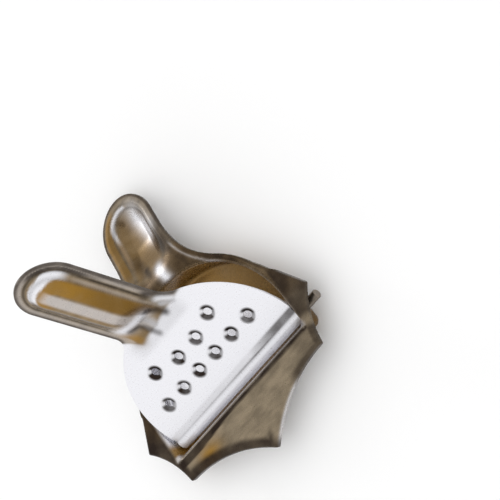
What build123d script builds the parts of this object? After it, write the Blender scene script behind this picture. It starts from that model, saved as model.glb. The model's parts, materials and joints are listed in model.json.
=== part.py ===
"""Hinged lemon squeezer for one wedge, pressed from stainless sheet.

A D-shaped press plate with drain holes swings on a pin inside a D-shaped dish.  Each half ends in a
troughed finger handle, and the dish's rim runs on past the hinge as a drip apron with five points.

Frame: X along the hinge pin, Y from the hinge to the handles, Z up out of the dish.  The origin is
the middle of the dish's half circle, on the flat underside of its floor.  Millimetres.
"""
import os
from math import atan2, cos, degrees, hypot, radians, sin, sqrt, tan

from build123d import *

# Sheet and pin
sheet = 0.9
pin_radius = 1.5
running_gap = 0.05
pin_hole_gap = 0.03
pin_stick_out = 6.8
pin_chamfer = 0.3
pin_head_radius = 2.3
pin_head_height = 1.0

# Dish and its rim
dish_radius = 32.8
dish_depth = 10.2
wall_draft = 4.0
corner_radius = 2.0
floor_fillet = 1.1
flange_width = 2.7

# Hinge: where the pin lies in the dish
hinge_offset = 4.6
hinge_drop = 5.65
knuckle_to_wall = 2.6

# Drip apron: leads and reaches are from the hinge axis, and the skirt ends past the dish's middle
wing_stand_out = 6.3
wing_lead = 3.4
wing_root_angle = 26.0
corner_inset = 2.0
corner_reach = 13.2
middle_reach = 25.6
wing_scallop_sag = 1.6
apron_scallop_sag = 3.2
skirt_depth = 1.6
skirt_end_y = 8.7

# Press plate
plate_clearance = 0.7
knuckle_stand_out = 0.8
knuckle_side_gap = 0.4
plate_corner_radius = 1.0
eye_mouth_angle = 25.0
open_angle = 37.0

# Drain holes: distances along the plate from the hinge axis
hole_radius = 1.65
dimple_radius = 2.9
dimple_depth = 1.1
dimple_wall = 0.6
row_distance = 11.75
row_pitch = 8.55
row_count = 6
arc_holes = [(4.7, 19.35), (14.3, 21.65)]

# Handles: each bend lies this far inside its half's round edge
press_bend_inset = 3.75
press_flare = 27.0
press_handle_length = 45.5
press_handle_half_width = 10.9
press_neck_fillet = 6.0
dish_bend_inset = 1.0
dish_flare = 9.0
dish_handle_length = 35.2
dish_handle_half_width = 12.1
dish_neck_fillet = 32.0
bend_radius = 8.0
handle_rim = 2.8
bulge_height = 4.3
bulge_taper = 32.0
bulge_round = 2.0
bulge_setback = 2.0

# Worked out
knuckle_inner = pin_radius + running_gap
knuckle_outer = knuckle_inner + sheet
plate_top = knuckle_outer - knuckle_stand_out
plate_level = plate_top - sheet / 2
flange_top = sheet + dish_depth
flange_radius = dish_radius + flange_width
hinge_y = -hinge_offset
hinge_z = flange_top - hinge_drop
plate_radius = dish_radius - plate_clearance
knuckle_half_length = plate_radius - knuckle_side_gap
plate_root = sqrt(knuckle_inner**2 - (plate_top - sheet) ** 2) + sheet / 2
chord_wall_y = hinge_y - knuckle_outer - knuckle_to_wall
wall_outside_at_head = dish_radius + sheet - (hinge_drop - pin_head_radius) * tan(radians(wall_draft))
press_bend = hinge_offset + plate_radius - press_bend_inset
dish_bend = hinge_offset + flange_radius - dish_bend_inset
wing_tip = (flange_radius + wing_stand_out, hinge_y + wing_lead)
corner_tip = (flange_radius - corner_inset, hinge_y - corner_reach)
middle_tip = (0, hinge_y - middle_reach)
wing_root = (
    flange_radius * cos(radians(wing_root_angle)),
    flange_radius * sin(radians(wing_root_angle)),
)
row_holes = [((i - (row_count - 1) / 2) * row_pitch, row_distance) for i in range(row_count)]
hole_places = row_holes + [(side * x, y) for side in (-1, 1) for x, y in arc_holes]
dimple_angle = 2 * degrees(atan2(dimple_radius - hole_radius, dimple_depth))
eye_mouth = 2 * knuckle_outer
eye_mouth_drop = eye_mouth * tan(radians(eye_mouth_angle))
pin_head_place = wall_outside_at_head + running_gap
hole_cut_depth = 3 * sheet
far = 4 * flange_radius

# Working planes: the press half's own plane, and the side views of each half
lean = radians(open_angle)
hinge_point = (0, hinge_y, hinge_z)
press = Plane(origin=hinge_point, x_dir=(1, 0, 0), z_dir=(0, -sin(lean), cos(lean)))
press_side = Plane(origin=hinge_point, x_dir=press.y_dir, z_dir=(1, 0, 0))
dish_top = Plane((0, hinge_y, flange_top - sheet / 2))
dish_side = Plane(origin=dish_top.origin, x_dir=(0, 1, 0), z_dir=(1, 0, 0))


def bent_strip(start, level, bend, flare, length):
    """Draw a sheet's middle line: flat from start to bend, round the bend, straight to its length.

    Returns where the bend ends.  A positive flare turns the strip up.
    """
    turn = radians(flare)
    side = 1 if flare > 0 else -1
    bend_end = (bend + bend_radius * sin(abs(turn)), level + side * bend_radius * (1 - cos(turn)))
    straight = length - bend_radius * abs(turn)
    Line((start, level), (bend, level))
    RadiusArc((bend, level), bend_end, -side * bend_radius)
    Line(bend_end, (bend_end[0] + straight * cos(turn), bend_end[1] + straight * sin(turn)))
    return bend_end


def strip_reach(bend, flare, length):
    """How far a bent strip reaches in plan."""
    turn = radians(flare)
    return bend + bend_radius * sin(turn) + (length - bend_radius * turn) * cos(turn)


def sagged_arc(start, end, sag):
    """Draw an arc from start to end, whose middle lies sag to the right of the straight line."""
    run, rise = end[0] - start[0], end[1] - start[1]
    span = hypot(run, rise)
    middle_x = (start[0] + end[0]) / 2 + sag * rise / span
    middle_y = (start[1] + end[1]) / 2 - sag * run / span
    ThreePointArc(start, (middle_x, middle_y), end)


def handle_outline(half_width, root, tip, flare):
    """Draw a handle in plan, with a full round end that a flare shortens to an ellipse."""
    round_length = half_width * cos(radians(flare))
    with Locations((0, root)):
        Rectangle(2 * half_width, tip - round_length - root, align=(Align.CENTER, Align.MIN))
    with Locations((0, tip - round_length)):
        Ellipse(half_width, round_length)


def handle_plane(side_plane, bend_end, flare):
    """The plane of a flared handle's middle, with Y along the handle and Z up out of the sheet."""
    origin = side_plane.from_local_coords((*bend_end, 0))
    return Plane(origin=origin, x_dir=(1, 0, 0), z_dir=side_plane.y_dir).rotated((flare, 0, 0))


def bulge_foot(half_width, length):
    """Draw the slot-shaped foot of a handle's bulge, which starts just past the bend."""
    with Locations((0, bulge_setback + length / 2)):
        SlotOverall(length, 2 * half_width, rotation=90)


def dish_outline(grow):
    """Draw the dish in plan: a half circle, and straight sides down to the wall by the hinge."""
    radius = dish_radius + grow
    Circle(radius)
    Rectangle(2 * radius, radius, align=(Align.CENTER, Align.MAX), mode=Mode.SUBTRACT)
    Rectangle(2 * radius, grow - chord_wall_y, align=(Align.CENTER, Align.MAX))


# Press half: plate, rolled eye, drain holes and handle in one sheet
with BuildPart() as press_half:
    with BuildSketch(press_side):
        with BuildLine():
            press_bend_end = bent_strip(
                plate_root, plate_level, press_bend, press_flare, press_handle_length
            )
        trace(line_width=sheet)
    extrude(amount=plate_radius, both=True)
    with BuildSketch(press) as plate_plan:
        with Locations((0, hinge_offset)):
            Circle(plate_radius)
        with Locations((0, plate_root)):
            Rectangle(2 * plate_radius, hinge_offset - plate_root, align=(Align.CENTER, Align.MIN))
            Rectangle(2 * plate_radius, plate_radius, align=(Align.CENTER, Align.MAX), mode=Mode.SUBTRACT)
        press_reach = strip_reach(press_bend, press_flare, press_handle_length)
        handle_outline(press_handle_half_width, hinge_offset, press_reach, press_flare)
        plate_far_edge = hinge_offset + plate_radius
        neck = plate_plan.vertices().filter_by_position(Axis.Y, plate_radius / 2, plate_far_edge)
        fillet(neck, press_neck_fillet)
        fillet(plate_plan.vertices().sort_by(Axis.Y)[:2], plate_corner_radius)
    extrude(amount=far, both=True, mode=Mode.INTERSECT)

    with BuildSketch(press_side):
        Circle(knuckle_outer)
        Circle(knuckle_inner, mode=Mode.SUBTRACT)
        with BuildLine():
            Polyline(
                (0, 0),
                (eye_mouth, -eye_mouth_drop),
                (eye_mouth, plate_top - sheet),
                (0, plate_top - sheet),
                close=True,
            )
        make_face(mode=Mode.SUBTRACT)
    extrude(amount=knuckle_half_length, both=True)

    with Locations(press.offset(plate_top - sheet - dimple_depth)):
        with Locations(*hole_places):
            Cone(
                hole_radius + dimple_wall,
                dimple_radius + dimple_wall,
                dimple_depth + sheet / 2,
                align=(Align.CENTER, Align.CENTER, Align.MIN),
            )
    with Locations(press.offset(plate_top)):
        with Locations(*hole_places):
            CounterSinkHole(
                hole_radius, dimple_radius, depth=hole_cut_depth, counter_sink_angle=dimple_angle
            )

    press_handle = handle_plane(press_side, press_bend_end, press_flare)
    press_bulge = press_handle_length - bend_radius * radians(press_flare) - bulge_setback - handle_rim
    with BuildSketch(press_handle):
        bulge_foot(press_handle_half_width - handle_rim, press_bulge)
    extrude(amount=bulge_height, taper=bulge_taper)
    press_up = Axis(press_handle.origin, press_handle.z_dir)
    crown = press_half.faces().filter_by(press_handle).sort_by(press_up)[-1]
    fillet(crown.edges(), bulge_round)
    with BuildSketch(press_handle.offset(-sheet)):
        bulge_foot(press_handle_half_width - handle_rim - dimple_wall, press_bulge - 2 * dimple_wall)
    extrude(amount=bulge_height, taper=bulge_taper, mode=Mode.SUBTRACT)
press_half.part.label = "press_half"

# The dish half in plan: the rim with its handle, and the drip apron
with BuildSketch() as rim_plan:
    Circle(flange_radius)
    Rectangle(2 * flange_radius, flange_radius, align=(Align.CENTER, Align.MAX), mode=Mode.SUBTRACT)
    dish_reach = hinge_y + strip_reach(dish_bend, dish_flare, dish_handle_length)
    handle_outline(dish_handle_half_width, 0, dish_reach, dish_flare)
    fillet(rim_plan.vertices().filter_by_position(Axis.Y, 1, flange_radius), dish_neck_fillet)
with BuildSketch() as apron_plan:
    with BuildLine():
        Polyline((0, wing_root[1]), wing_root, wing_tip)
        sagged_arc(wing_tip, corner_tip, wing_scallop_sag)
        sagged_arc(corner_tip, middle_tip, apron_scallop_sag)
        Line(middle_tip, (0, wing_root[1]))
    make_face()
    mirror(about=Plane.YZ)

# The space inside the dish
with BuildPart() as dish_space:
    with BuildSketch(Plane.XY.offset(flange_top)) as space_plan:
        dish_outline(0)
        fillet(space_plan.vertices().sort_by(Axis.Y)[:2], corner_radius)
    extrude(amount=-dish_depth, taper=wall_draft)
    fillet(dish_space.faces().sort_by(Axis.Z)[0].edges(), floor_fillet)

# Dish half: rim, handle, drip apron and skirt in one sheet, with the dish drawn down out of it
with BuildPart() as dish_half:
    with BuildSketch(dish_side):
        with BuildLine():
            dish_bend_end = bent_strip(-far, 0, dish_bend, -dish_flare, dish_handle_length)
        trace(line_width=sheet)
    extrude(amount=far, both=True)
    with BuildSketch():
        add([rim_plan.sketch, apron_plan.sketch])
    extrude(amount=far, both=True, mode=Mode.INTERSECT)

    with BuildSketch(Plane.XY.offset(flange_top)):
        add(apron_plan.sketch)
        offset(amount=-sheet, kind=Kind.INTERSECTION, mode=Mode.SUBTRACT)
        with Locations((0, skirt_end_y)):
            Rectangle(far, far, align=(Align.CENTER, Align.MIN), mode=Mode.SUBTRACT)
    extrude(amount=-sheet - skirt_depth)

    with BuildSketch(Plane.XY.offset(flange_top)) as wall_plan:
        dish_outline(sheet)
        fillet(wall_plan.vertices().sort_by(Axis.Y)[:2], corner_radius + sheet)
    extrude(amount=-flange_top, taper=wall_draft)
    fillet(dish_half.faces().sort_by(Axis.Z)[0].edges(), floor_fillet + sheet)
    add(dish_space.part, mode=Mode.SUBTRACT)

    with Locations(Location((0, hinge_y, hinge_z), (0, 90, 0))):
        Cylinder(pin_radius + pin_hole_gap, far, mode=Mode.SUBTRACT)

    dish_handle = handle_plane(dish_side, dish_bend_end, -dish_flare)
    dish_bulge = dish_handle_length - bend_radius * radians(dish_flare) - bulge_setback - handle_rim
    with BuildSketch(dish_handle):
        bulge_foot(dish_handle_half_width - handle_rim, dish_bulge)
    extrude(amount=-bulge_height, taper=bulge_taper)
    dish_up = Axis(dish_handle.origin, dish_handle.z_dir)
    crown = dish_half.faces().filter_by(dish_handle).sort_by(dish_up)[0]
    fillet(crown.edges(), bulge_round)
    with BuildSketch(dish_handle.offset(sheet)):
        bulge_foot(dish_handle_half_width - handle_rim - dimple_wall, dish_bulge - 2 * dimple_wall)
    extrude(amount=-bulge_height, taper=bulge_taper, mode=Mode.SUBTRACT)
dish_half.part.label = "dish_half"

# Hinge pin: straight wire with a small head at the left and a plain end standing out at the right
with BuildPart() as hinge_pin:
    with BuildSketch(Plane.YZ.offset(-pin_head_place)):
        with Locations((hinge_y, hinge_z)):
            Circle(pin_radius)
    extrude(amount=2 * pin_head_place + pin_stick_out)
    chamfer(hinge_pin.faces().sort_by(Axis.X)[-1].edges(), pin_chamfer)
    with BuildSketch(Plane.YZ.offset(-pin_head_place)):
        with Locations((hinge_y, hinge_z)):
            Circle(pin_head_radius)
    extrude(amount=-pin_head_height)
    chamfer(hinge_pin.faces().sort_by(Axis.X)[0].edges(), pin_chamfer)
hinge_pin.part.label = "hinge_pin"

os.makedirs("parts", exist_ok=True)
for piece in (press_half, dish_half, hinge_pin):
    export_step(piece.part, f"parts/{piece.part.label}.step")
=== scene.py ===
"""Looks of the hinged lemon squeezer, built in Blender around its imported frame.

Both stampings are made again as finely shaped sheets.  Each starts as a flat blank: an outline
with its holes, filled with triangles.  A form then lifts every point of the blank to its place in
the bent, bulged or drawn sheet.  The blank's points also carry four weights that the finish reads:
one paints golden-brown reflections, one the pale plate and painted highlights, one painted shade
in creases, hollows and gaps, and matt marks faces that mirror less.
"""
import json
from math import acos, atan2, cos, hypot, pi, radians, sin, sqrt, tan

import bmesh
import bpy
import numpy as np
from bpy.props import FloatProperty, FloatVectorProperty, PointerProperty
from mathutils import Matrix, Vector
from mathutils.geometry import delaunay_2d_cdt


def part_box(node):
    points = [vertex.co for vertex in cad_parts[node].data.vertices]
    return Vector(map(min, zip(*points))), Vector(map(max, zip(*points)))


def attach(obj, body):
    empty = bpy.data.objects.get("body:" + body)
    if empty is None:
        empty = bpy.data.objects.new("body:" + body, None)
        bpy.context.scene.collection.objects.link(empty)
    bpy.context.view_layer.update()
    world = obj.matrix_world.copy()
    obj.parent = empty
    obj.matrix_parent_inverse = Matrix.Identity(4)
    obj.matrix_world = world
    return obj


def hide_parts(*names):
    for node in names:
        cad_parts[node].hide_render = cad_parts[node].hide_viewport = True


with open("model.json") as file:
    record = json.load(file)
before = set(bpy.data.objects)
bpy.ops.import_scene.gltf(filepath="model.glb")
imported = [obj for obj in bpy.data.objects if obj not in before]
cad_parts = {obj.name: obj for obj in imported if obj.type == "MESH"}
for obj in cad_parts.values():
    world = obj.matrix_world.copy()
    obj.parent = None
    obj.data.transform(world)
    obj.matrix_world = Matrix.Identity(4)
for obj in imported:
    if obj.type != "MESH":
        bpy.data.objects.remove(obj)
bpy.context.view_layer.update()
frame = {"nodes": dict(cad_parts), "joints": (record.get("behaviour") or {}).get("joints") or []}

bl_info = {
    "name": "Hinged lemon squeezer",
    "version": (1, 0, 0),
    "blender": (4, 5, 0),
    "location": "3D View > Sidebar > Squeezer",
    "description": "Builds a lemon squeezer's two steel stampings, its hinge pin and the stage",
    "category": "Object",
}

MM = 0.001
HINGE = Vector(frame["joints"][0]["pos_m"])
PRESS_LOW, PRESS_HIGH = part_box("press_half")
DISH_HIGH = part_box("dish_half")[1]

SAME_POINT = 0.02 * MM  # points of an outline closer than this count as one
WELD = 0.01 * MM  # vertices closer than this are merged
ROW_SHARE = 0.87  # gap between staggered rows, as a share of the gap along a row
BLOCK = 2000  # points measured at a time
EPSILON = 1e-7  # smallest distance that the triangulation tells apart
SHARP_EDGE = radians(50)  # edges that turn by more than this are rounded
EDGE_SEGMENTS = 2
WIDER_NECK = 0.18  # how much wider a bulge is where it starts
SHOULDER_START = 0.38  # where a bulge's shoulder starts to fall, as a share of its half width
SHOULDER_SHARE = 0.8  # share of a bulge's height in its shoulder; its crown has the rest


def a_length(name, description, default):
    """A setting in metres."""
    return FloatProperty(name=name, description=description, default=default, unit="LENGTH")


def an_angle(name, description, default):
    """A setting in radians, shown in degrees."""
    return FloatProperty(name=name, description=description, default=default, subtype="ANGLE")


def a_colour(name, description, default):
    """A setting for a colour."""
    return FloatVectorProperty(name=name, description=description, default=default, subtype="COLOR")


class SheetSettings(bpy.types.PropertyGroup):
    """Sizes that both stampings share."""

    thickness: a_length("Sheet", "Thickness of the sheet", 0.9 * MM)
    spacing: a_length("Spacing", "Distance between the points of a blank", 0.5 * MM)
    edge_round: a_length("Edge rounding", "Radius on the sheared edges", 0.14 * MM)
    handle_rim: a_length("Handle rim", "Flat rim around a handle's bulge", 2.6 * MM)
    bulge_height: a_length("Bulge height", "Height of a handle's bulge", 3.7 * MM)


class PressSettings(bpy.types.PropertyGroup):
    """Sizes of the press half, measured along its sheet from the hinge axis."""

    plate_radius: a_length(
        "Plate radius", "Radius of the plate's round edge", (PRESS_HIGH.x - PRESS_LOW.x) / 2
    )
    plate_centre: a_length(
        "Plate centre", "Distance of the round edge's centre from the hinge axis", 4.6 * MM
    )
    open_angle: an_angle("Open angle", "Angle of the plate over the dish", radians(37))
    level: a_length("Level", "Height of the plate's middle over the hinge axis", 1.2 * MM)
    eye_radius: a_length("Eye radius", "Middle radius of the rolled eye", 2.0 * MM)
    eye_inset: a_length("Eye inset", "How far the eye's ends lie inside the plate's", 0.4 * MM)
    corner: a_length("Corner", "Radius of the plate's corners", 1.0 * MM)
    bend: a_length("Bend", "Where the handle's bend starts", 32.95 * MM)
    bend_radius: a_length("Bend radius", "Middle radius of the handle's bend", 8 * MM)
    flare: an_angle("Flare", "Angle by which the handle bends up", radians(27))
    length: a_length("Handle length", "Length of the handle with its bend", 45.5 * MM)
    half_width: a_length("Handle half width", "Half the handle's width", 10.9 * MM)
    neck: a_length("Neck fillet", "Radius between plate and handle", 6.0 * MM)
    hole_radius: a_length("Hole radius", "Radius of a drain hole", 1.45 * MM)
    dimple_radius: a_length("Dimple radius", "Radius of the dimple around a hole", 2.8 * MM)
    dimple_depth: a_length("Dimple depth", "Depth of the dimple around a hole", 0.65 * MM)


class DishSettings(bpy.types.PropertyGroup):
    """Sizes of the dish half, measured from the middle of the dish's half circle."""

    dish_radius: a_length("Dish radius", "Inner radius of the dish at its rim", 32.8 * MM)
    chord: a_length("Chord", "Distance of the straight wall", 9.65 * MM)
    rim_width: a_length("Rim width", "Width of the flat rim around the dish", 2.7 * MM)
    draft: an_angle("Draft", "Lean of the dish wall", radians(4))
    bend: a_length("Bend", "Where the handle's bend starts", 32.0 * MM)
    bend_radius: a_length("Bend radius", "Middle radius of the handle's bend", 40 * MM)
    flare: an_angle("Flare", "Angle by which the handle bends down", radians(9))
    length: a_length("Handle length", "Length of the handle with its bend", 37.6 * MM)
    half_width: a_length("Handle half width", "Half the handle's width", 12.1 * MM)
    neck: a_length("Neck fillet", "Radius between rim and handle", 32.0 * MM)
    skirt: a_length("Skirt", "Depth of the apron's turned-down edge", 2.4 * MM)


class FinishSettings(bpy.types.PropertyGroup):
    """Colours of the steel, and of the reflections, highlights and shade painted on it."""

    steel: a_colour("Steel", "Grey-brown of the polished sheet", (0.22, 0.175, 0.12))
    # The golden-brown of the painted warm reflections
    warm_reflection: a_colour("Gilt", "Golden-brown cast", (0.31, 0.165, 0.026))
    # The pale of the plate and of the painted highlights
    pale: a_colour("Pale", "Bright worn faces", (0.86, 0.86, 0.90))
    # The dark of the painted shade in creases, hollows and gaps, and of dark reflections
    painted_shade: a_colour("Soot", "Dark recesses and edges", (0.022, 0.014, 0.010))
    wire: a_colour("Wire", "Drawn wire of the pin", (0.20, 0.17, 0.14))


class StageSettings(bpy.types.PropertyGroup):
    """Camera, lamps and floor."""

    lens: FloatProperty(
        name="Lens", description="Focal length in millimetres", default=102.505, min=1
    )
    floor: a_colour("Floor", "Floor colour", (1.0, 1.0, 1.0))
    key_power: FloatProperty(
        name="Key", description="Power of the key lamp", default=0.02, min=0, unit="POWER"
    )
    fill_power: FloatProperty(
        name="Fill", description="Power of the fill lamp", default=0.15, min=0, unit="POWER"
    )


# Helpers for blanks -----------------------------------------------------------


def smooth(value, low, high):
    """0 below low, 1 above high, and smooth between."""
    t = np.clip((value - low) / (high - low), 0, 1)
    return t * t * (3 - 2 * t)


def bell(value, middle, width):
    """1 at middle, fading to both sides over about width."""
    return np.exp(-(((value - middle) / width) ** 2))


def band(value, low, high, soft):
    """1 between low and high, fading out over soft beyond them."""
    return smooth(value, low - soft, low) * (1 - smooth(value, high, high + soft))


def stroke(x, y, start, end, width):
    """1 on the line from start to end, fading to its sides over about width."""
    run, rise = end[0] - start[0], end[1] - start[1]
    share = ((x - start[0]) * run + (y - start[1]) * rise) / (run * run + rise * rise)
    share = np.clip(share, 0, 1)
    return bell(np.hypot(x - start[0] - share * run, y - start[1] - share * rise), 0, width)


def strongest(*shares):
    """The strongest of several masks, each given as its strength and the mask."""
    return np.maximum.reduce([strength * mask for strength, mask in shares])


def strokes(x, y, *paths):
    """Several strokes together, each a start, an end and a width."""
    return np.maximum.reduce([stroke(x, y, *path) for path in paths])


def arc(centre, radius, start, end, step):
    """Points from angle start to angle end, in radians, about a step apart."""
    count = max(2, int(abs(end - start) * radius / step))
    angles = np.linspace(start, end, count + 1)
    return [(centre[0] + radius * cos(a), centre[1] + radius * sin(a)) for a in angles]


def line(start, end, step):
    """Points on a straight line, about a step apart."""
    start, end = np.array(start), np.array(end)
    count = max(1, int(hypot(*(end - start)) / step))
    return [tuple(start + (end - start) * i / count) for i in range(count + 1)]


def sagged(start, end, sag, step):
    """Points on an arc from start to end, whose middle lies sag to the right of the chord."""
    start, end = np.array(start), np.array(end)
    chord = end - start
    span = np.linalg.norm(chord)
    right = np.array((chord[1], -chord[0])) / span
    radius = (span * span / 4 + sag * sag) / (2 * sag)
    centre = (start + end) / 2 + right * (sag - radius)
    first = atan2(start[1] - centre[1], start[0] - centre[0])
    last = atan2(end[1] - centre[1], end[0] - centre[0])
    turn = (last - first + pi) % (2 * pi) - pi
    return arc(centre, radius, first, first + turn, step)


def join(*runs):
    """One open loop from runs of points, without the points that repeat."""
    points = []
    for run in runs:
        for p in run:
            if not points or hypot(p[0] - points[-1][0], p[1] - points[-1][1]) > SAME_POINT:
                points.append(p)
    if hypot(points[0][0] - points[-1][0], points[0][1] - points[-1][1]) < SAME_POINT:
        points.pop()
    return points


def mirrored(half):
    """A closed outline from its right half, which runs from the middle line to the middle line."""
    return join(half, [(-x, y) for x, y in reversed(half)])


def inside(points, loop):
    """Which points lie inside a closed loop."""
    points, loop = np.asarray(points), np.asarray(loop)
    found = np.zeros(len(points), bool)
    for (x0, y0), (x1, y1) in zip(loop, np.roll(loop, -1, axis=0)):
        if y0 == y1:
            continue
        crosses = (y0 > points[:, 1]) != (y1 > points[:, 1])
        found ^= crosses & (points[:, 0] < x0 + (points[:, 1] - y0) * (x1 - x0) / (y1 - y0))
    return found


def gap_to(points, others):
    """Each point's distance from the nearest of the others."""
    others = np.asarray(others)
    gaps = np.empty(len(points))
    for start in range(0, len(points), BLOCK):
        block = points[start : start + BLOCK]
        gaps[start : start + BLOCK] = ((block[:, None, :] - others[None, :, :]) ** 2).sum(2).min(1)
    return np.sqrt(gaps)


def far_from(points, others, distance):
    """Which points lie further than distance from all the others."""
    return gap_to(points, others) > distance


def grid(low, high, step):
    """Staggered rows of points over a rectangle."""
    rows = np.arange(low[1], high[1], step * ROW_SHARE)
    found = []
    for i, y in enumerate(rows):
        xs = np.arange(low[0] + (i % 2) * step / 2, high[0], step)
        found.append(np.c_[xs, np.full(len(xs), y)])
    return np.concatenate(found)


def fill(outline, holes, points):
    """Points and triangles that fill an outline around its holes, through the points inside."""
    corners = [tuple(p) for p in outline]
    edges = [(i, (i + 1) % len(outline)) for i in range(len(outline))]
    for hole in holes:
        first = len(corners)
        corners += [tuple(p) for p in hole]
        edges += [(first + i, first + (i + 1) % len(hole)) for i in range(len(hole))]
    corners += [tuple(p) for p in points]
    scaled = [Vector((x / MM, y / MM)) for x, y in corners]
    made, _, faces, *_ = delaunay_2d_cdt(scaled, edges, [], 0, EPSILON)
    made = np.array([tuple(v) for v in made]) * MM
    faces = np.array(faces)
    middles = made[faces].mean(1)
    kept = inside(middles, outline)
    for hole in holes:
        kept &= ~inside(middles, hole)
    return made, faces[kept]


def sheet_object(name, points, faces, weights, sheet):
    """A piece of sheet from its middle surface, with the weights that its finish reads."""
    mesh = bpy.data.meshes.new(name)
    mesh.from_pydata([tuple(p) for p in points], [], [list(f) for f in faces])
    for key, values in weights.items():
        layer = mesh.attributes.new(key, "FLOAT", "POINT")
        layer.data.foreach_set("value", np.clip(values, 0, 1).astype(np.float32))
    mesh.validate()
    work = bmesh.new()
    work.from_mesh(mesh)
    bmesh.ops.remove_doubles(work, verts=work.verts, dist=WELD)
    bmesh.ops.recalc_face_normals(work, faces=work.faces)
    top = max(work.faces, key=lambda f: abs(f.normal.z) * f.calc_area())
    if top.normal.z < 0:
        bmesh.ops.reverse_faces(work, faces=work.faces)
    work.to_mesh(mesh)
    work.free()
    mesh.shade_smooth()
    piece = bpy.data.objects.new(name, mesh)
    bpy.context.collection.objects.link(piece)
    solid = piece.modifiers.new("Sheet", "SOLIDIFY")
    solid.thickness = sheet.thickness
    solid.offset = 0
    rounding = piece.modifiers.new("Edges", "BEVEL")
    rounding.width = sheet.edge_round
    rounding.segments = EDGE_SEGMENTS
    rounding.limit_method = "ANGLE"
    rounding.angle_limit = SHARP_EDGE
    weighted = piece.modifiers.new("Normals", "WEIGHTED_NORMAL")
    weighted.keep_sharp = True
    return piece


def strip_form(bend, radius, flare, level):
    """A form for a strip that is flat up to bend, then bends by flare and runs straight.

    Returns a function from distances along the strip and heights over it to distances and heights
    seen from the side.  A positive flare turns the strip up.
    """
    turn, side = abs(flare), (1 if flare > 0 else -1)
    arc_length = radius * turn

    def form(along, height):
        angle = np.clip((along - bend) / radius, 0, turn)
        past = np.maximum(along - bend - arc_length, 0)
        flat = np.minimum(along, bend)
        out = flat + radius * np.sin(angle) + past * np.cos(angle)
        up = side * (radius * (1 - np.cos(angle)) + past * np.sin(angle))
        return out - side * height * np.sin(angle), level + up + height * np.cos(angle)

    return form


def bulge(x, along, half_width, start, full, end):
    """Share of a handle's bulge height: it grows from start to full, and ends round before end."""
    grown = smooth(along, start, full)
    centre = end - half_width
    across = np.where(along > centre, np.hypot(x, along - centre), np.abs(x))
    reach = across / (half_width * (1 + WIDER_NECK * (1 - grown)))
    shoulder = 1 - smooth(reach, SHOULDER_START, 1.0)
    crown = np.clip(1 - reach * reach, 0, 1)
    return (SHOULDER_SHARE * shoulder + (1 - SHOULDER_SHARE) * crown) * grown


def reach_over(x, along, half_width, end):
    """Place across a handle's bulge: 0 on its middle line, 1 at its foot."""
    centre = end - half_width
    return np.where(along > centre, np.hypot(x, along - centre), np.abs(x)) / half_width


# Finish -----------------------------------------------------------------------

BLOTCH_SCALE, FINE_SCALE, BRUSH_SCALE = 140, 1500, 420  # noise cells per metre
BLOTCH_DETAIL, FINE_DETAIL, BRUSH_DETAIL = 3, 4, 5
BRUSH_STRETCH = (0.35, 1.0, 1.0)
NOISE_LOW, NOISE_HIGH = 0.3, 0.7  # where nearly all of a noise lies
BRUSH_LOW, BRUSH_HIGH = 0.35, 0.65
CLOUD = (0.82, 1.12)  # how far the blotches thin out the painted warm reflections and shade or build them up
PALE_SPREAD = (0.98, 1.04)  # the same for fine noise and the pale plate with its painted highlights
DARKER, LIGHTER = 0.80, 1.25  # shares of the steel's colour between which it is brushed
BRUSH_SHARE = 0.6  # share of the brush marks in the bump; fine noise has the rest
BUMP_STRENGTH, BUMP_DEPTH = 0.06, 0.05 * MM
SMOOTHER, ROUGHER = 0.05, 0.07  # how far fine noise changes the roughness
PRESS_ROUGHNESS, PRESS_METALLIC = 0.30, 0.85
DISH_ROUGHNESS, DISH_METALLIC = 0.26, 0.9


def tone(colour, share):
    """A colour made darker or lighter."""
    return [min(c * share, 1) for c in colour]


def principled(name):
    """A new material and its shader."""
    material = bpy.data.materials.new(name)
    material.use_nodes = True
    return material, material.node_tree.nodes["Principled BSDF"]


def noise(tree, scale, detail, stretch=(1, 1, 1)):
    """Noise over an object's own space."""
    place = tree.nodes.new("ShaderNodeTexCoord")
    mapping = tree.nodes.new("ShaderNodeMapping")
    mapping.inputs["Scale"].default_value = stretch
    tree.links.new(place.outputs["Object"], mapping.inputs["Vector"])
    texture = tree.nodes.new("ShaderNodeTexNoise")
    texture.inputs["Scale"].default_value = scale
    texture.inputs["Detail"].default_value = detail
    tree.links.new(mapping.outputs["Vector"], texture.inputs["Vector"])
    return texture.outputs["Fac"]


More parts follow.
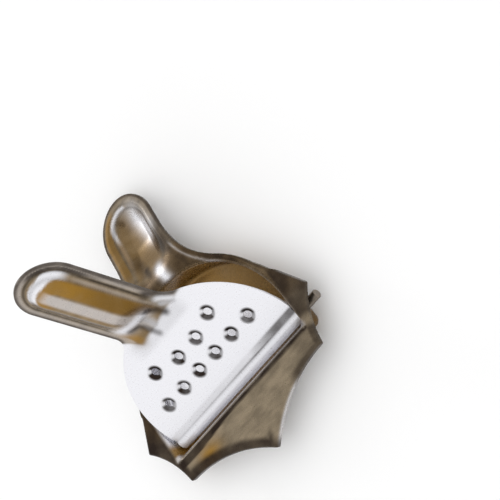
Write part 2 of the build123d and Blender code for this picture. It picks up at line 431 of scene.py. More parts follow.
def tinted_steel(name, finish, roughness, metallic):
    """Polished sheet steel: weights tint it with painted light and shade, and noise breaks up the
    tints and marks it.
    """
    material, shader = principled(name)
    tree = material.node_tree
    nodes, links = tree.nodes, tree.links

    def spread(value, new_low, new_high, low=NOISE_LOW, high=NOISE_HIGH):
        node = nodes.new("ShaderNodeMapRange")
        ends = {"From Min": low, "From Max": high, "To Min": new_low, "To Max": new_high}
        for key, end in ends.items():
            node.inputs[key].default_value = end
        links.new(value, node.inputs["Value"])
        return node.outputs["Result"]

    def math(operation, first, second):
        node = nodes.new("ShaderNodeMath")
        node.operation = operation
        node.use_clamp = True
        for socket, value in zip(node.inputs, (first, second)):
            if isinstance(value, (int, float)):
                socket.default_value = value
            else:
                links.new(value, socket)
        return node.outputs["Value"]

    def mix(factor, first, second):
        node = nodes.new("ShaderNodeMix")
        node.data_type = "RGBA"
        links.new(factor, node.inputs["Factor"])
        for socket, value in ((node.inputs[6], first), (node.inputs[7], second)):
            if isinstance(value, bpy.types.NodeSocket):
                links.new(value, socket)
            else:
                socket.default_value = (*value, 1)
        return node.outputs[2]

    def weight(key, blotches):
        node = nodes.new("ShaderNodeAttribute")
        node.attribute_name = key
        return math("MULTIPLY", node.outputs["Fac"], blotches)

    fine = noise(tree, FINE_SCALE, FINE_DETAIL)
    brushed = noise(tree, BRUSH_SCALE, BRUSH_DETAIL, BRUSH_STRETCH)
    cloud = spread(noise(tree, BLOTCH_SCALE, BLOTCH_DETAIL), *CLOUD)
    brushing = spread(brushed, 0, 1, BRUSH_LOW, BRUSH_HIGH)
    base = mix(brushing, tone(finish.steel, DARKER), tone(finish.steel, LIGHTER))
    # Painted warm reflections, then the pale plate and painted highlights, then painted shade
    warm_reflected = mix(weight("warm_reflection", cloud), base, finish.warm_reflection)
    pale_weight = weight("pale", spread(fine, *PALE_SPREAD))
    bright = mix(pale_weight, warm_reflected, finish.pale)
    shade_weight = weight("painted_shade", cloud)
    dark = mix(shade_weight, bright, finish.painted_shade)
    links.new(dark, shader.inputs["Base Color"])
    matt = weight("matt", math("SUBTRACT", 1.0, shade_weight))
    links.new(math("SUBTRACT", metallic, matt), shader.inputs["Metallic"])
    rough = spread(fine, roughness - SMOOTHER, roughness + ROUGHER)
    links.new(rough, shader.inputs["Roughness"])

    bump = nodes.new("ShaderNodeBump")
    bump.inputs["Strength"].default_value = BUMP_STRENGTH
    bump.inputs["Distance"].default_value = BUMP_DEPTH
    marks = math("MULTIPLY", brushed, BRUSH_SHARE)
    grain = math("MULTIPLY", fine, 1 - BRUSH_SHARE)
    links.new(math("ADD", marks, grain), bump.inputs["Height"])
    links.new(bump.outputs["Normal"], shader.inputs["Normal"])
    return material


# Press half -------------------------------------------------------------------

CREASE = 0.8 * MM  # radius of the bend between the plate and its eye
EYE_TURN = radians(335)  # how far the eye rolls round the pin
FULL_WIDTH = 1.8 * MM  # from the crease to where the plate has its full width
ROW_COUNT, ROW_PITCH, ROW_PLACE = 6, 8.55 * MM, 11.75 * MM  # the straight row of holes
ARC_HOLES = ((4.7 * MM, 19.35 * MM), (14.3 * MM, 21.65 * MM))  # one half of the arc of holes
HOLE_STEP = 0.42 * MM  # between the points round a hole
FIRST_RING, LAST_RING, RING_GAP = 0.3 * MM, 1.1 * MM, 0.33 * MM  # rings of points for a dimple
AROUND_RINGS = 1.3 * MM  # from a dimple to the loose points of the plate
EYE_ROWS, EYE_COLUMNS, COLUMN_WIDTH = 0.45 * MM, 0.9 * MM, 0.24 * MM  # points on the eye
EYE_MARGIN, PLATE_MARGIN = 0.3 * MM, 0.5 * MM
PRESS_BULGE = (32.75 * MM, 47.25 * MM)  # where the handle's bulge starts and where it is full
DIMPLE_LIP = 0.1 * MM
GROOVE_SHARE = 0.6  # place of the painted shade line in the crease
RING_WIDE = (0.816, 0.578)  # direction in which the painted shade ring round a hole is widest
RING_SHUT = (0.641, -0.767)  # direction in which it has its shut side


def hole_centres():
    """Centres of the drain holes: a straight row, and an arc of four behind it."""
    row = [((i - (ROW_COUNT - 1) / 2) * ROW_PITCH, ROW_PLACE) for i in range(ROW_COUNT)]
    return row + [(side * x, y) for side in (-1, 1) for x, y in ARC_HOLES]


def press_weights(blank, outline, sheet, press, crease_start, groove_line, holes):
    """Weights over the press half's blank, in millimetres along its sheet from the hinge axis."""
    x, along = blank.T
    tip = (press.bend + press.length) / MM
    rim = sheet.handle_rim / MM
    reach = reach_over(x, along, press.half_width / MM - rim, tip - rim)
    from_tip = along - tip
    edge_gap = gap_to(blank, outline)
    plus_side = smooth(x, -3.5, 2)
    near_tip = smooth(from_tip, -17, -9)

    # The handle starts at a slanting border, and earlier towards its edge on the minus side
    border = along - 0.12 * x - 1.6 * np.maximum(-x - 8, 0)
    handle = smooth(border, 30.3, 32.1)
    # Painted reflections on the bulge's top and on the rim, and painted shade along the outline
    top = 1 - smooth(reach, 0.80, 0.95)
    rim_pale = 0.24 * smooth(reach, 1.02, 1.1) * handle
    outline_dark = handle * (1 - smooth(edge_gap, 0.4, 1.4))

    # Painted light on the bulge: a pale highlight crescent round the tip, a grey reflection streak
    # on top, gold reflections beside it, and painted shade over the gold and in a brown band
    crescent = band(reach - 0.16 * smooth(x, 1, 6), 0.60, 0.78, 0.07)
    crescent *= smooth(from_tip, -13, -8) * smooth(x + 1.1 * (from_tip + 9), -6, -1)
    upper_grey = plus_side * (1 - near_tip) * handle * band(reach, 0.78, 0.84, 0.05)
    grey = band(x, -1.9, 0.7, 1.2) * top * handle * (1 - smooth(from_tip, -9, -6))
    gold = np.maximum(smooth(x, 0.8, 2.6), near_tip) * band(reach, 0.3, 0.66, 0.14)
    gold *= smooth(along, 33, 37)
    gold_shade = gold * (1 - smooth(from_tip, -28, -12))
    brown = np.maximum(plus_side, near_tip) * bell(reach, 0.74, 0.06) * smooth(along, 35.25, 39.25)

    # Painted shade lines along the bulge's foot, over the rim near the tip, and low on the minus
    # side
    foot_line = np.maximum(
        0.7 * bell(reach, 0.98, 0.06) * smooth(along, 39.25, 47.25),
        0.9 * bell(reach, 0.97, 0.06) * plus_side * (1 - near_tip),
    )
    dark_arc = band(reach, 1.03, 1.16, 0.06) * smooth(x, -2, 3) * smooth(from_tip, -26, -12)
    foot_line = np.maximum(foot_line * smooth(along, 37.25, 43.25), 0.9 * dark_arc)
    lower_line = bell(x, -4.9, 0.8) * band(along, 46.25, tip - 9, 4)

    # Painted highlights, reflections and shade on the neck
    neck_patch = stroke(x, along, (-5.6, 39.2), (1.4, 37.7), 3.0)
    neck_pale = stroke(x, along, (9.3, 36.6), (11.6, 32.6), 1.6)
    neck_gold = stroke(x, along, (-8.2, 37.4), (-7.2, 31.8), 2.2)
    neck_grey = strokes(
        x, along, ((0.3, 35.4), (0.3, 31.4), 1.8), ((8.2, 34.4), (11.1, 32.0), 1.2)
    )
    neck_shade_lines = strokes(
        x,
        along,
        ((9.2, 41.0), (13.0, 35.6), 2.3),
        ((3.7, 37.4), (6.4, 31.6), 1.7),
        ((-5.6, 36.4), (-3.0, 35.2), 1.4),
        ((-3.0, 35.2), (-1.1, 28.9), 1.4),
    )

    # Painted shade: the groove before the roll, the plate by the neck, and the roll's underside
    groove = bell(along, groove_line, 0.6) * (0.4 + 0.5 * smooth(x, -20, 26))
    shade = band(along, groove_line, crease_start + 1.6, 0.9)
    shade *= np.maximum(0.9 * smooth(x, 4, 26), 0.16)
    shade_by_neck = band(along, 28.25, 31.25, 2.5) * (1 - smooth(np.abs(x), 9, 15))
    under_roll = smooth(crease_start - along, 8.6, 9.6)

    # Around each hole: a ring of painted shade, open on one side
    hole_shade = np.zeros(len(blank))
    for hole_x, hole_along in holes:
        aside, ahead = x - hole_x, along - hole_along
        from_hole = np.hypot(aside, ahead)
        divisor = np.maximum(from_hole, 0.1)
        across = np.abs(RING_WIDE[0] * aside + RING_WIDE[1] * ahead) / divisor
        facing = (RING_SHUT[0] * aside + RING_SHUT[1] * ahead) / divisor
        edge = 2.45 + 0.35 * across
        ring = 1 - smooth(from_hole, edge - 0.25, edge + 0.25)
        dark = np.maximum(smooth(across, 0.15, 0.65), 0.65 * smooth(facing, 0.3, 0.9))
        hole_shade = np.maximum(hole_shade, ring * dark)

    # Mixed into the colour: the pale plate and painted highlights, painted warm reflections,
    # painted shade
    pale = strongest(
        (1, (1 - handle) * (1 - neck_gold)),
        (1, crescent),
        (0.16, upper_grey),
        (0.42, grey),
        (1, rim_pale),
        (1, neck_patch),
        (1, neck_pale),
        (0.7, neck_grey),
    )
    warm_reflection = strongest(
        (1, handle * gold),
        (0.35, handle * top),
        (0.8, handle * rim_pale),
        (0.5, shade),
        (0.8, neck_gold),
    )
    painted_shade = strongest(
        (1, groove),
        (1, shade),
        (0.18, shade_by_neck),
        (1, foot_line * (1 - neck_patch)),
        (0.35, brown),
        (0.4, gold_shade),
        (0.8, lower_line),
        (0.8, outline_dark),
        (0.85, neck_shade_lines),
        (0.4, neck_grey),
        (0.8, under_roll),
        (1, hole_shade),
    )
    return {"warm_reflection": warm_reflection, "pale": pale, "painted_shade": painted_shade, "matt": 0.6 * pale}


class SQUEEZER_OT_press_half(bpy.types.Operator):
    """Build the press half: perforated plate, rolled hinge eye and bulged handle."""

    bl_idname = "squeezer.press_half"
    bl_label = "Build press half"

    def execute(self, context):
        scene = context.scene
        sheet, press = scene.squeezer_sheet, scene.squeezer_press
        step = sheet.spacing

        # The eye, seen from the side: the plate dips into a tight bend and rolls over the pin
        reach = press.eye_radius + CREASE
        rise = press.level + CREASE
        crease_start = sqrt(reach**2 - rise**2)
        meet = atan2(rise, crease_start)
        crease_length = CREASE * (pi / 2 - meet)
        eye_end = crease_start - crease_length - press.eye_radius * (EYE_TURN - meet)
        lift = strip_form(press.bend, press.bend_radius, press.flare, press.level)

        def place(points, height):
            x, along = points[:, 0], points[:, 1]
            out, up = lift(along, height)
            back = np.clip(crease_start - along, 0, crease_length) / CREASE
            in_crease = along < crease_start
            out = np.where(in_crease, crease_start - (CREASE - height) * np.sin(back), out)
            up = np.where(in_crease, rise - (CREASE - height) * np.cos(back), up)
            roll = meet + np.maximum(crease_start - crease_length - along, 0) / press.eye_radius
            in_roll = along < crease_start - crease_length
            out = np.where(in_roll, (press.eye_radius + height) * np.cos(roll), out)
            up = np.where(in_roll, (press.eye_radius + height) * np.sin(roll), up)
            lean = press.open_angle
            y = HINGE.y + out * cos(lean) - up * sin(lean)
            z = HINGE.z + out * sin(lean) + up * cos(lean)
            return np.c_[x, y, z]

        # The blank's outline
        radius, centre = press.plate_radius, press.plate_centre
        tip = press.bend + press.length
        half_eye = radius - press.eye_inset
        shoulder = crease_start + FULL_WIDTH
        corner_start = acos(1 - press.eye_inset / press.corner)
        corner_foot = shoulder - press.corner * sin(corner_start)
        neck_x = press.half_width + press.neck
        neck_y = centre + sqrt((radius + press.neck) ** 2 - neck_x**2)
        neck_angle = atan2(neck_y - centre, neck_x)
        half = join(
            line((0, eye_end), (half_eye, eye_end), step),
            line((half_eye, eye_end), (half_eye, corner_foot), 0.5 * step),
            arc((radius - press.corner, shoulder), press.corner, -corner_start, 0, 0.3 * step),
            line((radius, shoulder), (radius, centre), step),
            arc((0, centre), radius, 0, neck_angle, step),
            arc((neck_x, neck_y), press.neck, neck_angle + pi, pi, 0.5 * step),
            line((press.half_width, neck_y), (press.half_width, tip - press.half_width), step),
            arc((0, tip - press.half_width), press.half_width, 0, pi / 2, 0.7 * step),
        )
        outline = mirrored(half)

        # Holes, with rings of points for their dimples
        centres = hole_centres()
        holes = [arc(c, press.hole_radius, 0, 2 * pi, HOLE_STEP)[:-1] for c in centres]
        radii = np.arange(press.hole_radius + FIRST_RING, press.dimple_radius + LAST_RING, RING_GAP)
        rings = [p for c in centres for r in radii for p in arc(c, r, 0, 2 * pi, HOLE_STEP)[:-1]]

        # Loose points: columns on the eye, which is rolled, and a staggered grid on the rest
        low, high = np.min(outline, axis=0), np.max(outline, axis=0)
        plate_start = shoulder + PLATE_MARGIN
        eye_points = grid((low[0], eye_end + EYE_MARGIN), (high[0], plate_start), EYE_ROWS)
        columns = np.round(eye_points[:, 0] / EYE_COLUMNS) * EYE_COLUMNS
        eye_points = eye_points[np.abs(columns - eye_points[:, 0]) < COLUMN_WIDTH]
        body_points = grid((low[0], plate_start), high, step)
        loose = np.concatenate([eye_points, body_points])
        loose = loose[inside(loose, outline)]
        loose = loose[far_from(loose, outline, 0.6 * step)]
        loose = loose[far_from(loose, centres, press.dimple_radius + AROUND_RINGS)]
        flat, faces = fill(outline, holes, np.concatenate([loose, np.array(rings)]))

        # Heights over the blank
        x, along = flat.T
        foot = press.half_width - sheet.handle_rim
        height = sheet.bulge_height * bulge(x, along, foot, *PRESS_BULGE, tip - sheet.handle_rim)
        nearest = np.min([np.hypot(x - cx, along - cy) for cx, cy in centres], axis=0)
        dimple = 1 - smooth(nearest, press.hole_radius - DIMPLE_LIP, press.dimple_radius)
        height -= press.dimple_depth * dimple

        groove_line = crease_start - GROOVE_SHARE * crease_length
        weights = press_weights(
            flat / MM,
            np.array(outline) / MM,
            sheet,
            press,
            crease_start / MM,
            groove_line / MM,
            np.array(centres) / MM,
        )
        piece = sheet_object("press_half_sheet", place(flat, height), faces, weights, sheet)
        steel = tinted_steel(
            "Satin and polished steel", scene.squeezer_finish, PRESS_ROUGHNESS, PRESS_METALLIC
        )
        piece.data.materials.append(steel)
        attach(piece, "press")
        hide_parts("press_half")
        return {"FINISHED"}


# Dish half --------------------------------------------------------------------

CORNER, LEAST_CORNER = 2.0 * MM, 0.25 * MM  # radius between the round and the straight wall
ARC_POINTS, SIDE_POINTS, CORNER_POINTS, CHORD_POINTS = 225, 11, 9, 71
ROOT_ANGLE = radians(26)  # where the wing's edge leaves the round rim
WING_LEAD, CORNER_REACH, MIDDLE_REACH = 3.4 * MM, 13.2 * MM, 25.6 * MM  # points, from the hinge
CORNER_INSET = 2.0 * MM  # of the corner points, from the rim's side
WING_SAG, MIDDLE_SAG = 1.6 * MM, 3.2 * MM  # depth of the hollow edges between the points
FOLD = 0.6 * MM  # radius of the turned-down edge
FOLD_SHARE = 0.5  # share of the edge strip that bends; the rest runs straight down
LEAST_MITRE, SHARP_TURN, LEAST_SLOPE = 0.45, 0.8, 0.1  # limits for the strip at the points
SKIRT_FADE = (6.5 * MM, 10.5 * MM)  # where the turned-down edge runs out
STRIP_RINGS, WALL_RINGS, BEND_RINGS = 9, 9, 7
LIP = 1.2 * MM  # radius of the dish's lip
FLOOR_BEND = 1.8 * MM  # radius between wall and floor
DISH_BULGE = (34.5 * MM, 53 * MM)  # where the handle's bulge starts and where it is full


def dish_loop(dish, grow):
    """The dish in plan, grown outwards: always the same number of points."""
    radius, chord = dish.dish_radius + grow, dish.chord + grow
    corner = max(CORNER + grow, LEAST_CORNER)
    inset = radius - corner
    sides = np.linspace(0, corner - chord, SIDE_POINTS)[1:-1]
    turn = np.linspace(0, -pi / 2, CORNER_POINTS)
    points = [(radius * cos(a), radius * sin(a)) for a in np.linspace(pi, 0, ARC_POINTS)]
    points += [(radius, y) for y in sides]
    points += [(inset + corner * cos(a), corner - chord + corner * sin(a)) for a in turn]
    points += [(x, -chord) for x in np.linspace(inset, -inset, CHORD_POINTS)[1:-1]]
    points += [(-inset - corner * cos(a), corner - chord + corner * sin(a)) for a in reversed(turn)]
    points += [(-radius, y) for y in reversed(sides)]
    return np.array(points)


def edge_strip(outline, sheet, dish):
    """The blank's edge: flat around rim and handle, and turned down around the apron.

    Returns the strip's inner loop, and for each ring outside it the points and their heights.
    """
    ahead = np.roll(outline, -1, axis=0) - outline
    ahead /= np.linalg.norm(ahead, axis=1)[:, None]
    outward = np.c_[ahead[:, 1], -ahead[:, 0]]
    behind = np.roll(outward, 1, axis=0)
    straightness = (outward * behind).sum(1)
    mitre = (outward + behind) / np.maximum(1 + straightness, LEAST_MITRE)[:, None]
    inset = FOLD + sheet.thickness / 2
    inner = outline - mitre * inset
    for sharp in np.flatnonzero(straightness < SHARP_TURN):
        slope = max(tan((pi - acos(straightness[sharp])) / 2), LEAST_SLOPE)
        near = np.linalg.norm(outline - outline[sharp], axis=1) < inset / slope
        inner[near] = inner[sharp]
    mitre = (outline - inner) / inset
    turned = 1 - smooth(outline[:, 1], *SKIRT_FADE)
    depth = dish.skirt - sheet.thickness / 2 - FOLD
    rings = []
    for share in np.linspace(0, 1, STRIP_RINGS)[1:]:
        angle = min(share / FOLD_SHARE, 1) * pi / 2
        drop = depth * max(share - FOLD_SHARE, 0) / (1 - FOLD_SHARE)
        out = (1 - turned) * inset * share + turned * FOLD * sin(angle)
        rings.append((inner + mitre * out[:, None], turned * (-FOLD * (1 - cos(angle)) - drop)))
    return inner, rings


def dish_profile(sheet, dish, middle):
    """The dish's lip, wall and floor bend in section: growth in plan and height, from the top."""
    profile = []
    for a in np.linspace(0, pi / 2 - dish.draft, BEND_RINGS):
        profile.append((sheet.thickness / 2 + LIP - LIP * sin(a), middle - LIP * (1 - cos(a))))
    out, top = profile[-1]
    wall_bottom = sheet.thickness / 2 + FLOOR_BEND
    for share in np.linspace(0, 1, WALL_RINGS)[1:]:
        z = top + (wall_bottom - top) * share
        profile.append((out - (top - z) * tan(dish.draft), z))
    out, z = profile[-1]
    bend = z - sheet.thickness / 2
    for a in np.linspace(0, pi / 2, BEND_RINGS)[1:]:
        profile.append((out - bend * (1 - cos(a)), z - bend * sin(a)))
    return profile


def ring_faces(first, second, count):
    """Faces between two rings of points, given by their first points."""
    steps = [(i, (i + 1) % count) for i in range(count)]
    return [(first + i, first + j, second + j, second + i) for i, j in steps]


def dish_weights(blank, height, outline, sheet, dish):
    """Weights over the dish half's blank, in millimetres from its half circle's middle."""
    x, along = blank.T
    tip = (dish.bend + dish.length) / MM
    rim = sheet.handle_rim / MM
    radius, chord = dish.dish_radius / MM, dish.chord / MM
    reach = reach_over(x, along, dish.half_width / MM - rim, tip - rim)
    edge_gap = gap_to(blank, outline)
    off_middle = np.abs(x)
    handle = smooth(along, 38, 43)
    apron = 1 - smooth(along, -chord - 2.5, -chord - 0.5)

    # Inside the dish: painted shade to the plus side, painted warm reflections on the wall, a floor
    # painted bright as if lit, and a wall behind the eye painted pale for the eye to mirror
    by_chord = np.maximum(off_middle, radius - chord - along)
    from_wall = np.where(along > 0, np.hypot(x, along), by_chord)
    in_dish = 1 - smooth(from_wall - radius, 0.3, 1.4)
    flat_part = 1 - in_dish
    upper_shade = 0.6 * smooth(height, 6.5, 9) * smooth(x, 12, 22)
    dish_shade = in_dish * np.maximum(0.05 + 0.5 * smooth(x, 10, 30), upper_shade)
    chord_lip = smooth(height, 8, 9.5) * (1 - smooth(along, -chord + 0.5, -chord + 1.5))
    behind_eye = in_dish * (1 - smooth(along, -7.5, -5.5)) * (1 - chord_lip)
    behind_eye *= 1 - smooth(off_middle, 26, 29)
    floor_highlight = in_dish * smooth(along, -6, -3) * (1 - smooth(0.69 * x + 0.72 * along, 18.5, 22))
    gold_wall = in_dish * (1 - floor_highlight) * (1 - behind_eye)

    # On the handle, painted: a thin warm reflection line round the bulge, a highlight at its tip, a
    # bright highlight patch inside it, warm reflections on top and rim, and shade along the foot
    line_reach = reach - 0.17 * smooth(along, 57, 66)
    thin_line = band(line_reach, 0.71, 0.76, 0.05)
    thin_line *= smooth(along, 44, 50) * (1 - smooth(x, 2, 4.5))
    crescent = thin_line * (0.12 + 0.88 * smooth(along, 56, 63))
    bright = handle * stroke(x, along, (3.8, 61.0), (6.2, 52.5), 3.6)
    top = handle * (1 - smooth(reach, 0.6, 0.9))
    rim_gold = band(reach, 0.88, 1.12, 0.06) * smooth(-x, 1, 5) * smooth(along, 40, 48)
    foot_line = bell(reach, 0.84, 0.05) * smooth(along, 42, 50)

    # Painted highlight and shade on the neck
    neck_white = flat_part * stroke(x, along, (2.8, 38.6), (5.0, 30.6), 2.1)
    neck_dark = strokes(
        x, along, ((8.2, 50), (10.2, 40), 4.8), ((10.2, 40), (13.8, 31.2), 3.6)
    )
    left_dark = np.maximum(
        0.75 * stroke(x, along, (-5.5, 49), (-3.0, 41), 3.2),
        stroke(x, along, (-2.6, 42.5), (0.4, 32.4), 2.4),
    )

    # Painted on the rim: shade along the edges, a thin highlight line beside the neck, and shaded
    # wings
    outline_dark = smooth(along, 5, 12) * (1 - smooth(edge_gap, 0.5, 1.5))
    rim_line = 0.45 * bell(edge_gap, 1.9, 0.4) * band(along, 26, 40, 4) * smooth(x, 6, 10)
    rim_dark = flat_part * (1 - handle) * smooth(along, -3, 2) * (1 - 0.45 * smooth(x, 27, 31))
    beside_dish = smooth(x, 28.5, 32) * (1 - smooth(along, -2, 2))
    beside_dish = np.maximum(beside_dish, smooth(off_middle, 32.5, 34.5))
    side = flat_part * beside_dish * smooth(along, -10, -7)
    left_wing = flat_part * smooth(-x, 31, 33) * (1 - smooth(along, 12, 20))

    # Painted on the apron: shade along the edges and the wing, a shadow strip beside the hinge, a
    # golden reflection spot, and a highlight on the turned-down skirt
    gold_spot = bell(x, -21, 5) * bell(along, HINGE.y / MM - 11.6, 3)
    lower_edge = apron * smooth(-x, -3.5, 0) * (1 - smooth(edge_gap, 2.0, 4.0))
    right_edge = apron * smooth(x, 16, 22) * (1 - smooth(edge_gap, 0.8, 2.2))
    wing_shade = apron * smooth(x, 22, 30)
    skirt_face = (1 - smooth(height, 9.6, 10.5)) * (1 - smooth(edge_gap, 0.8, 1.4))
    skirt_face *= smooth(x, -2, 3) * (1 - smooth(x, 16, 22)) * (1 - smooth(along, -20, -16))
    strip_end = -chord - 2.0 - 1.6 * smooth(-x, 2, 28)
    hinge_strip = band(along, strip_end, -chord - 1.3, 0.5) * (1 - smooth(off_middle, 33, 35))

    # Mixed into the colour: painted warm reflections, painted highlights, and painted shade
    warm_reflection = strongest(
        (0.95, in_dish * (1 - 0.8 * chord_lip)),
        (0.5, top),
        (0.7, rim_gold),
        (0.9, gold_spot),
        (0.5, rim_dark),
        (0.9, thin_line * (1 - crescent)),
    )
    pale = strongest(
        (0.85, crescent),
        (1, bright),
        (1, neck_white),
        (0.55, skirt_face),
        (1, behind_eye),
        (1, floor_highlight),
        (1, rim_line),
        (0.5, chord_lip * in_dish),
    )
    painted_shade = strongest(
        (1, dish_shade * (1 - floor_highlight) * (1 - behind_eye)),
        (0.35, handle * (1 - crescent) * (1 - bright)),
        (0.9, neck_dark * flat_part * (1 - neck_white) * (1 - rim_line) * (1 - bright)),
        (0.9, left_dark * flat_part * (1 - neck_white)),
        (0.6, foot_line),
        (0.8, outline_dark),
        (0.85, rim_dark * (1 - rim_line) * (1 - neck_white)),
        (0.85, side),
        (0.9, left_wing),
        (0.9, lower_edge),
        (0.8, right_edge),
        (0.4, wing_shade),
        (0.95, hinge_strip),
    )
    matt = strongest((0.6, bright), (0.6, neck_white), (0.3, crescent), (0.54, gold_wall))
    return {"warm_reflection": warm_reflection, "pale": pale, "painted_shade": painted_shade, "matt": matt}


class SQUEEZER_OT_dish_half(bpy.types.Operator):
    """Build the dish half: drawn dish, rim, bulged handle and pointed drip apron."""

    bl_idname = "squeezer.dish_half"
    bl_label = "Build dish half"

    def execute(self, context):
        scene = context.scene
        sheet, dish = scene.squeezer_sheet, scene.squeezer_dish
        step = sheet.spacing
        middle = DISH_HIGH.z - sheet.thickness / 2
        lift = strip_form(dish.bend, dish.bend_radius, -dish.flare, middle)

        def place(points, height):
            out, up = lift(points[:, 1], height)
            return np.c_[points[:, 0], out, up]

        # The blank's outline: rim, neck and handle, and the apron's five points
        rim = dish.dish_radius + dish.rim_width
        tip = dish.bend + dish.length
        neck_x = dish.half_width + dish.neck
        neck_y = sqrt((rim + dish.neck) ** 2 - neck_x**2)
        neck_angle = atan2(neck_y, neck_x)
        root = (rim * cos(ROOT_ANGLE), rim * sin(ROOT_ANGLE))
        wing = (DISH_HIGH.x, HINGE.y + WING_LEAD)
        corner = (rim - CORNER_INSET, HINGE.y - CORNER_REACH)
        point = (0, HINGE.y - MIDDLE_REACH)
        half = join(
            reversed(sagged(corner, point, MIDDLE_SAG, step)),
            reversed(sagged(wing, corner, WING_SAG, step)),
            line(wing, root, step),
            arc((0, 0), rim, ROOT_ANGLE, neck_angle, step),
            arc((neck_x, neck_y), dish.neck, neck_angle + pi, pi, step),
            line((dish.half_width, neck_y), (dish.half_width, tip - dish.half_width), step),
            arc((0, tip - dish.half_width), dish.half_width, 0, pi / 2, step),
        )
        outline = np.array(mirrored(half))
        inner, strips = edge_strip(outline, sheet, dish)

        # The flat of the sheet between the dish's lip and the edge strip, with the handle's bulge
        lip_loop = dish_loop(dish, sheet.thickness / 2 + LIP)
        loose = grid(inner.min(0), inner.max(0), step)
        loose = loose[inside(loose, inner) & ~inside(loose, lip_loop)]
        loose = loose[far_from(loose, inner, 0.7 * step) & far_from(loose, lip_loop, 0.7 * step)]
        flat, faces = fill(inner, [lip_loop], loose)
        foot = dish.half_width - sheet.handle_rim
        height = -sheet.bulge_height * bulge(*flat.T, foot, *DISH_BULGE, tip - sheet.handle_rim)
        sets = [(flat, height), *strips, (inner, np.zeros(len(inner)))]
        plan = np.concatenate([blank for blank, _ in sets])
        points = np.concatenate([place(*layer) for layer in sets])
        first, count = len(flat), len(outline)
        all_faces = [tuple(f) for f in faces]
        for ring in range(len(strips) - 1):
            all_faces += ring_faces(first + ring * count, first + (ring + 1) * count, count)
        all_faces += ring_faces(len(points) - count, first, count)

        # The drawn dish: lip, wall, floor bend and floor
        profile = dish_profile(sheet, dish, middle)
        first, count = len(points), len(lip_loop)
        for grow, z in profile:
            loop = dish_loop(dish, grow)
            out, up = lift(loop[:, 1], 0)
            plan = np.concatenate([plan, loop])
            points = np.concatenate([points, np.c_[loop[:, 0], out, up + z - middle]])
        for ring in range(len(profile) - 1):
            all_faces += ring_faces(first + ring * count, first + (ring + 1) * count, count)
        loose = grid(loop.min(0), loop.max(0), 2 * step)
        loose = loose[inside(loose, loop)]
        loose = loose[far_from(loose, loop, step)]
        floor_flat, floor_faces = fill(loop, [], loose)
        all_faces += [tuple(f + len(points)) for f in floor_faces]
        plan = np.concatenate([plan, floor_flat])
        points = np.concatenate([points, np.c_[floor_flat, np.full(len(floor_flat), z)]])

        weights = dish_weights(plan / MM, points[:, 2] / MM, outline / MM, sheet, dish)
        piece = sheet_object("dish_half_sheet", points, all_faces, weights, sheet)
        steel = tinted_steel("Polished steel", scene.squeezer_finish, DISH_ROUGHNESS, DISH_METALLIC)
        piece.data.materials.append(steel)
        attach(piece, "dish")
        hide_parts("dish_half")
        return {"FINISHED"}


# Pin and stage ----------------------------------------------------------------

WIRE_STRETCH = (0.15, 1, 1)  # the wire's marks run along it
WIRE_SCALE, WIRE_DETAIL = 2500, 4
WIRE_DARKER, WIRE_LIGHTER = 0.6, 1.5
WIRE_METALLIC, WIRE_ROUGHNESS = 0.9, 0.32
FLOOR_CORNERS = ((-2, -2, 0), (2, -2, 0), (2, 2, 0), (-2, 2, 0))
FLOOR_ROUGHNESS = 0.9
LAMP_TARGET = Vector((0, 10 * MM, 15 * MM))
KEY_SPOT, KEY_WIDTH = Vector((-0.27, -0.33, 0.28)), 0.20
FILL_SPOT, FILL_WIDTH = Vector((-0.30, 0.40, 0.20)), 0.10
SENSOR, CLIP_START = 36, 0.01
CAMERA_SPOT = Vector((0.234179, -0.139967, 0.350053))
CAMERA_RIGHT = Vector((0.571592, -0.560578, -0.599195))
CAMERA_DOWN = Vector((-0.671495, -0.739249, 0.051045))
CAMERA_AHEAD = Vector((-0.471569, 0.373179, -0.798974))


class SQUEEZER_OT_hinge_pin(bpy.types.Operator):
    """Give the hinge pin its drawn-wire finish."""

    bl_idname = "squeezer.hinge_pin"
    bl_label = "Finish hinge pin"

    def execute(self, context):
        pin = frame["nodes"]["hinge_pin"]
        material, shader = principled("Drawn wire")
        tree = material.node_tree
        drawn = noise(tree, WIRE_SCALE, WIRE_DETAIL, WIRE_STRETCH)
        ramp = tree.nodes.new("ShaderNodeValToRGB")
        wire = context.scene.squeezer_finish.wire
        ramp.color_ramp.elements[0].color = (*tone(wire, WIRE_DARKER), 1)
        ramp.color_ramp.elements[1].color = (*tone(wire, WIRE_LIGHTER), 1)
        tree.links.new(drawn, ramp.inputs["Fac"])
        tree.links.new(ramp.outputs["Color"], shader.inputs["Base Color"])
        shader.inputs["Metallic"].default_value = WIRE_METALLIC
        shader.inputs["Roughness"].default_value = WIRE_ROUGHNESS
        pin.data.materials.clear()
        pin.data.materials.append(material)
        return {"FINISHED"}


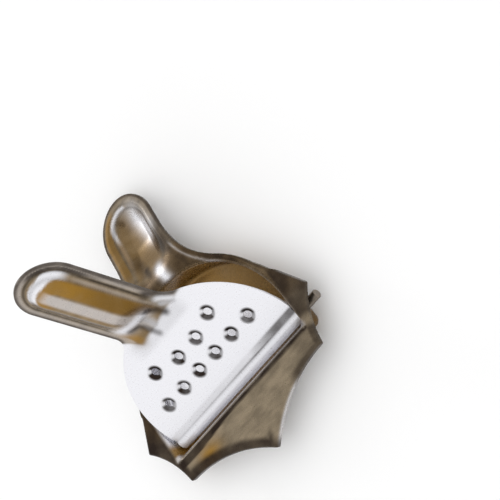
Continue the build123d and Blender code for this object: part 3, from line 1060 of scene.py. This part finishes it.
class SQUEEZER_OT_stage(bpy.types.Operator):
    """Set the floor, lamps, world and camera."""

    bl_idname = "squeezer.stage"
    bl_label = "Set stage"

    def execute(self, context):
        scene = context.scene
        settings = scene.squeezer_stage

        mesh = bpy.data.meshes.new("floor")
        mesh.from_pydata(FLOOR_CORNERS, [], [(0, 1, 2, 3)])
        floor = bpy.data.objects.new("floor", mesh)
        scene.collection.objects.link(floor)
        paint, shader = principled("Floor paint")
        shader.inputs["Base Color"].default_value = (*settings.floor, 1)
        shader.inputs["Roughness"].default_value = FLOOR_ROUGHNESS
        floor.data.materials.append(paint)

        world = scene.world or bpy.data.worlds.new("World")
        scene.world = world
        world.use_nodes = True
        background = world.node_tree.nodes["Background"]
        background.inputs["Color"].default_value = (1, 1, 1, 1)
        background.inputs["Strength"].default_value = 1.0

        lamps = (
            ("key", KEY_SPOT, KEY_WIDTH, settings.key_power),
            ("fill", FILL_SPOT, FILL_WIDTH, settings.fill_power),
        )
        for name, spot, width, power in lamps:
            data = bpy.data.lights.new(name, "AREA")
            data.size = width
            data.energy = power
            lamp = bpy.data.objects.new(name, data)
            lamp.location = spot
            lamp.rotation_euler = (LAMP_TARGET - spot).to_track_quat("-Z", "Y").to_euler()
            scene.collection.objects.link(lamp)

        data = bpy.data.cameras.new("camera")
        data.lens = settings.lens
        data.sensor_width = SENSOR
        data.clip_start = CLIP_START
        camera = bpy.data.objects.new("camera", data)
        turn = Matrix((CAMERA_RIGHT, -CAMERA_DOWN, -CAMERA_AHEAD)).transposed()
        camera.matrix_world = Matrix.Translation(CAMERA_SPOT) @ turn.to_4x4()
        scene.collection.objects.link(camera)
        scene.camera = camera
        scene.view_settings.view_transform = "Standard"
        return {"FINISHED"}


class SQUEEZER_PT_panel(bpy.types.Panel):
    """The squeezer's steps and sizes."""

    bl_label = "Lemon squeezer"
    bl_space_type = "VIEW_3D"
    bl_region_type = "UI"
    bl_category = "Squeezer"

    def draw(self, context):
        scene = context.scene
        for operator in OPERATORS:
            self.layout.operator(operator.bl_idname)
        for group in SETTINGS:
            settings = getattr(scene, group)
            box = self.layout.box()
            box.label(text=settings.bl_rna.name)
            for key in type(settings).__annotations__:
                box.prop(settings, key)


OPERATORS = (
    SQUEEZER_OT_press_half,
    SQUEEZER_OT_dish_half,
    SQUEEZER_OT_hinge_pin,
    SQUEEZER_OT_stage,
)
SETTINGS = {
    "squeezer_sheet": SheetSettings,
    "squeezer_press": PressSettings,
    "squeezer_dish": DishSettings,
    "squeezer_finish": FinishSettings,
    "squeezer_stage": StageSettings,
}
CLASSES = (*SETTINGS.values(), *OPERATORS, SQUEEZER_PT_panel)


def register():
    for cls in CLASSES:
        bpy.utils.register_class(cls)
    for key, cls in SETTINGS.items():
        setattr(bpy.types.Scene, key, PointerProperty(type=cls))


def unregister():
    for key in SETTINGS:
        delattr(bpy.types.Scene, key)
    for cls in reversed(CLASSES):
        bpy.utils.unregister_class(cls)


def main():
    register()
    bpy.ops.squeezer.press_half()
    bpy.ops.squeezer.dish_half()
    bpy.ops.squeezer.hinge_pin()
    bpy.ops.squeezer.stage()


if __name__ == "__main__":
    main()
